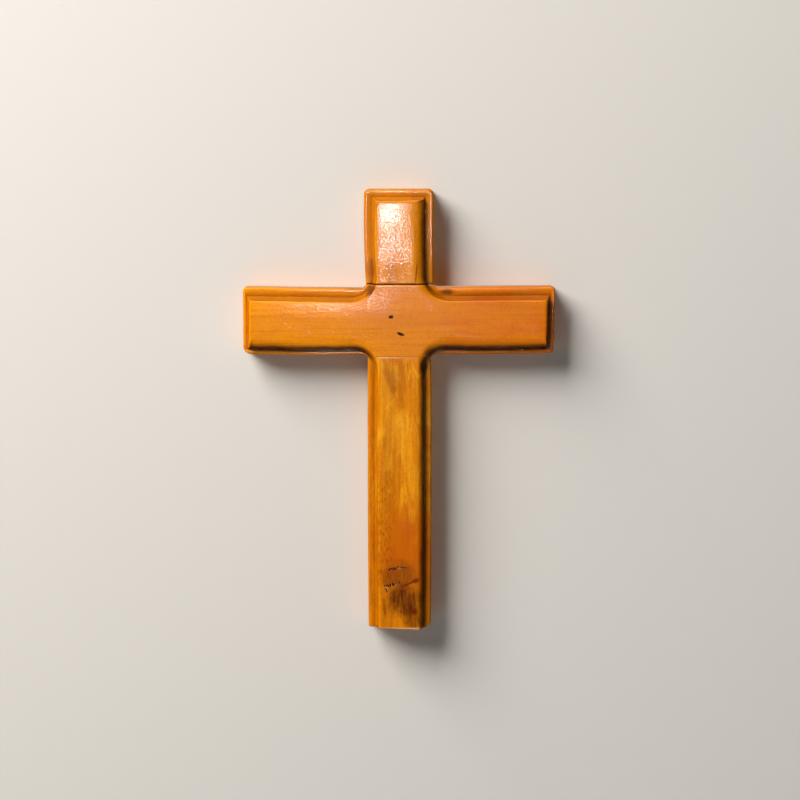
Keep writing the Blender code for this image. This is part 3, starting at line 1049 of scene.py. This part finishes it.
def grain(finish, colour, axis, dark, band_strength=0.22):
    """Lay bands, streaks and pores over a colour, along an axis."""
    bands = finish.step(finish.noise(along_grain(axis, 150, 9), 2.0, 4.0), 0.42, 0.70)
    colour = finish.mix(finish.calc("MULTIPLY", bands, band_strength), colour, dark)
    streaks = finish.step(finish.noise(along_grain(axis, 46, 1.1), 4.0, 9.0), 0.40, 0.78)
    colour = finish.mix(finish.calc("MULTIPLY", streaks, 0.30), colour, dark)
    mottle = finish.step(finish.noise((1.3, 1.3, 1.3), 4.0, 3.0, 0.7), 0.42, 0.68)
    colour = finish.mix(finish.calc("MULTIPLY", mottle, 0.20), colour, dark)
    pores = finish.step(finish.noise(along_grain(axis, PORE_LENGTH, PORE_WIDTH), 1.0, 2.0), 0.66, 0.80)
    return finish.mix(finish.calc("MULTIPLY", pores, 0.25), colour, dark)


def painted_groove_shade(finish, colour):
    """Painted shade: darken the groove, more on some sides than on others."""
    place, reach = finish.layer("place"), finish.layer("reach")
    full = finish.calc("SUBTRACT", reach, GROOVE_SHADE_FADE)
    in_groove = finish.calc("MULTIPLY", finish.step(place, 0.40, 1.15), finish.step(place, reach, full))
    uneven = finish.calc("ADD", finish.calc("MULTIPLY", finish.noise((7, 7, 7), 2.0, 6.0), 0.5), 0.75)
    groove_shade = finish.calc("MULTIPLY", finish.calc("MULTIPLY", in_groove, uneven), finish.layer("groove_shade"))
    return finish.mix(finish.calc("MINIMUM", groove_shade, 0.95), colour, GROOVE_SHADE_COLOUR)


def peel(finish, rough_areas):
    """The ripple of the varnish, which is stronger in some areas: a middle, a reach and how much."""
    ripple = finish.calc("SUBTRACT", finish.noise((PEEL_SIZE,) * 3, 0.0, 1.0), 0.5)
    strength = 1.0
    for middle, reach, rougher in rough_areas:
        rough = finish.spot(middle, reach, 0.6, 0.3, 5.0)
        strength = finish.calc("ADD", finish.calc("MULTIPLY", rough, rougher), strength)
    ripple = finish.calc("MULTIPLY", ripple, strength)
    grit = finish.step(finish.noise((GRIT_SIZE,) * 3, 0.0, 7.0), 0.55, 0.72)
    return finish.height(grit, GRIT_DEPTH, finish.height(ripple, PEEL_DEPTH))


print("orange peel", PEEL_SIZE, "mm wide")

# %% [markdown]
# ## The crossbar's colour
# The crossbar is a warm orange at the left and a redder one at the right, and a little paler at
# the crossing. Dark patches in the grooves at the inner corners are painted shade. Around each
# nail hole the wood is dark, and at its rim the broken varnish is pale, partly a painted
# highlight on the rim.

# %% Crossbar finish
BAR_LEFT = tone(244, 148, 12)
BAR_MIDDLE = tone(218, 128, 12)
BAR_RIGHT = tone(212, 116, 14)
BAR_DARK = tone(150, 66, 8)
BAR_RED = tone(206, 92, 12)
CORNER_SHADE = tone(70, 30, 8)
DIRT_COLOUR = tone(58, 20, 5)
RIM_WEAR_AND_HIGHLIGHT = tone(252, 196, 120)


def blemishes(finish, colour, spots, paint):
    """Paint spots on a colour, each a middle, a reach, a turn and a strength."""
    for middle, reach, turn, strength in spots:
        spot = finish.spot(middle, reach, turn=turn)
        colour = finish.mix(finish.calc("MULTIPLY", spot, strength), colour, paint)
    return colour


def dirty(finish, colour):
    """Dirt in the marks, and a pale rim round them: broken varnish, partly a painted highlight."""
    dirt = finish.layer("dirt")
    rim = finish.calc("MULTIPLY", finish.step(dirt, 0.0, 0.25), finish.step(finish.noise((1.6,) * 3), 0.48, 0.6))
    # The pale rim is broken varnish and partly a painted highlight.
    colour = finish.mix(finish.calc("MULTIPLY", rim, 0.35), colour, RIM_WEAR_AND_HIGHLIGHT)
    return finish.mix(finish.step(dirt, 0.2, 0.75), colour, DIRT_COLOUR)


bar = Finish("varnished_crossbar_wood")
colour = bar.mix(bar.step(bar.x, -48.0, 0.0), BAR_LEFT, BAR_MIDDLE)
colour = bar.mix(bar.step(bar.x, 2.0, 50.0), colour, BAR_RIGHT)
blotches = bar.step(bar.noise((20, 20, 9), 4.0, 5.0, 0.6), 0.45, 0.66)
blotches = bar.calc("MULTIPLY", blotches, bar.calc("ADD", bar.calc("MULTIPLY", bar.step(bar.x, 0.0, 60.0), 0.35), 0.15))
colour = bar.mix(blotches, colour, BAR_RED)
colour = grain(bar, colour, 0, BAR_DARK)
# Painted shade in the groove.
colour = painted_groove_shade(bar, colour)
# Painted shade: dark patches in the grooves at the inner corners.
colour = blemishes(
    bar,
    colour,
    [
        ((26.0, 15.6), (3.6, 1.5), 0.0, 0.75),
        ((-15.4, 16.2), (1.1, 3.4), -38.0, 0.8),
        ((17.0, -17.0), (3.0, 2.6), 0.0, 0.55),
        ((-14.6, 15.6), (0.35, 3.6), -31.0, 1.0),
        ((-24.0, 16.8), (5.0, 0.5), 0.0, 0.4),
    ],
    CORNER_SHADE,
)
colour = dirty(bar, colour)
varnish = peel(bar, [((-34.0, 8.5), (24.0, 5.0), 1.4), ((-17.0, 9.5), (11.0, 5.0), 1.2)])
bar.paint(colour, relief=varnish, varnish_relief=varnish, **VARNISH)
bar.shader.inputs["Coat Roughness"].default_value = 0.09
bar.shader.inputs["Roughness"].default_value = 0.45

# %% [markdown]
# ## The upright's colour
# The upright is a yellower board. Its figure runs in slanting waves, and towards the foot it has
# an old brown stain. Above the stain the wood is redder. The same brown is also painted shade in
# the right groove just below the crossing, and a pale stripe along the left arris is a painted
# highlight.

# %% Upright finish
POST_TOP = tone(220, 132, 16)
POST_GOLD = tone(216, 126, 4)
POST_PALE = tone(244, 168, 34)
POST_RED = tone(186, 84, 2)
POST_DARK = tone(140, 66, 4)
FOOT_STAIN_AND_SHADE = tone(78, 32, 2)
FOOT_RUST = tone(104, 34, 2)
WORN_EDGE = tone(214, 168, 108)

post = Finish("varnished_upright_wood")
colour = post.mix(post.step(post.z, 8.0, -24.0), POST_TOP, POST_GOLD)
flames = post.noise((5.5, 5.5, 26), 3.0, 3.0, 0.55, 1.6)
on_leg = post.step(post.z, -16.0, -22.0)
off_foot = post.step(post.z, -150.0, -90.0)
pale = post.calc("MULTIPLY", post.calc("MULTIPLY", post.step(flames, 0.47, 0.62), on_leg), off_foot)
colour = post.mix(post.calc("MULTIPLY", pale, 0.62), colour, POST_PALE)
dim = post.calc("MULTIPLY", post.step(post.noise((3.5, 3.5, 18), 3.0, 12.0, 0.6, 1.2), 0.52, 0.68), 0.22)
colour = post.mix(dim, colour, POST_DARK)
colour = blemishes(
    post,
    colour,
    [
        ((-5.0, -46.0), (3.0, 20.0), 9.0, 0.35),
        ((5.5, -78.0), (3.2, 26.0), 14.0, 0.35),
        ((-5.0, -45.0), (0.8, 5.0), -42.0, 0.7),
        # The next spot is a painted highlight: a pale stripe along the leg's left arris.
        ((-9.6, -47.0), (0.7, 24.0), 0.0, 0.45),
        ((3.0, -55.0), (3.4, 7.0), 0.0, 0.45),
    ],
    POST_PALE,
)
colour = grain(post, colour, 2, POST_DARK)
red = post.spot((4.0, -125.0), (13.0, 21.0), 0.8, 0.7, 9.0)
colour = post.mix(post.calc("MULTIPLY", red, 0.8), colour, POST_RED)
flecks = post.step(post.noise((0.8, 0.8, 3.0), 3.0, 6.0, 0.65), 0.50, 0.62)
fleck_area = post.spot((-8.5, -118.0), (5.0, 34.0), 0.7, 0.5, 8.0)
colour = post.mix(post.calc("MULTIPLY", post.calc("MULTIPLY", flecks, fleck_area), 0.55), colour, FOOT_RUST)

streaks = post.step(post.noise((0.9, 0.9, 9.0), 4.0, 8.0, 0.65), 0.62, 0.40)
for middle, reach, turn, strength in [
    ((3.2, -152.5), (8.5, 8.0), 0.0, 0.95),
    ((0.0, -139.0), (9.5, 7.0), 10.0, 0.60),
    ((7.0, -162.0), (4.5, 6.5), 0.0, 0.75),
    ((-8.0, -157.0), (0.8, 5.0), 6.0, 0.55),
]:
    stain = post.spot(middle, reach, 0.5, 0.6, 4.0, turn)
    through = post.calc("ADD", post.calc("MULTIPLY", streaks, 0.25), 0.75)
    stain = post.calc("MULTIPLY", post.calc("MULTIPLY", stain, through), strength)
    colour = post.mix(stain, colour, FOOT_STAIN_AND_SHADE)
for middle, reach, turn, strength in [
    ((5.2, -143.4), (4.8, 0.50), 24.0, 0.90),
    ((9.2, -141.6), (1.8, 1.3), 24.0, 0.85),
    ((8.4, -158.6), (1.5, 1.8), 0.0, 0.85),
]:
    rust = post.spot(middle, reach, 0.6, 0.4, 1.5, turn)
    colour = post.mix(post.calc("MULTIPLY", rust, strength), colour, FOOT_RUST)
colour = blemishes(
    post,
    colour,
    [
        ((1.5, -33.0), (2.2, 14.0), 0.0, 0.35),
        ((-3.4, -33.0), (2.0, 6.5), 4.0, 0.55),
        ((-6.6, -28.0), (1.6, 8.0), 8.0, 0.45),
        ((-15.8, 28.0), (2.4, 5.0), 0.0, 0.5),
        ((9.2, 25.0), (0.35, 6.5), -6.0, 0.95),
        ((4.6, -25.0), (0.25, 4.0), 4.0, 0.6),
        ((6.4, -31.0), (0.25, 6.0), -3.0, 0.5),
    ],
    POST_DARK,
)
# Painted shade in the groove.
colour = painted_groove_shade(post, colour)
# Painted shade in the leg's right groove, just below the crossing.
colour = blemishes(post, colour, [((13.2, -25.0), (1.8, 5.0), 0.0, 0.85)], FOOT_STAIN_AND_SHADE)
worn = post.calc("MULTIPLY", post.step(post.z, -167.2, -168.2), post.step(post.layer("place"), 1.8, 2.2))
colour = post.mix(post.calc("MULTIPLY", worn, 0.8), colour, WORN_EDGE)
colour = dirty(post, colour)
varnish = peel(post, [((-1.0, 33.0), (14.0, 15.0), 1.6)])
post.paint(colour, relief=varnish, varnish_relief=varnish, **VARNISH)
post.shader.inputs["Coat Roughness"].default_value = 0.085
post.shader.inputs["Roughness"].default_value = 0.45
print("stain, rust and worn edge painted at the foot")

# %% [markdown]
# ## The bare back
# The back was sanded flat and never varnished, and so were the hanging hole and the faces inside
# the joint. It is a material of its own, because bare wood has no clear coat.

# %% Back finish
BARE = tone(196, 148, 92)
BARE_DARK = tone(140, 92, 50)


def bare_wood(name, axis):
    """Sanded wood without varnish."""
    back_finish = Finish(name)
    colour = grain(back_finish, BARE, axis, BARE_DARK, 0.6)
    scratches = back_finish.noise(along_grain(axis, 20, 0.2), 3.0, 5.0)
    back_finish.paint(colour, relief=back_finish.height(scratches, 0.03), roughness=None)
    back_finish.shader.inputs["Roughness"].default_value = 0.7
    back_finish.shader.inputs["Specular IOR Level"].default_value = 0.3
    return back_finish.material


BACK_TOLERANCE = 0.05 * MM


def dress(plank, varnished, bare, node):
    """Give a plank its two finishes, and let it stand for its node."""
    plank.data.materials.clear()
    plank.data.materials.append(varnished)
    plank.data.materials.append(bare)
    hole_middle = Vector((0.0, post_high.z - HOLE_BELOW_TOP))
    for face in plank.data.polygons:
        middle = face.center
        on_back = middle.y > -BACK_TOLERANCE
        in_hole = (middle.xz - hole_middle).length < HOLE_DIAMETER / 2 + BACK_TOLERANCE
        in_hole = in_hole and middle.y > -HOLE_DEPTH - BACK_TOLERANCE
        on_lap = abs(middle.y + LAP_DEPTH) < GLUE_LINE and abs(face.normal.y) > 0.99
        face.material_index = int(on_back or in_hole or on_lap)
    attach(plank, "root")
    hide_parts(node)


dress(crossbar, bar.material, bare_wood("bare_crossbar_back", 0), "crossbar")
dress(upright, post.material, bare_wood("bare_upright_back", 2), "upright")
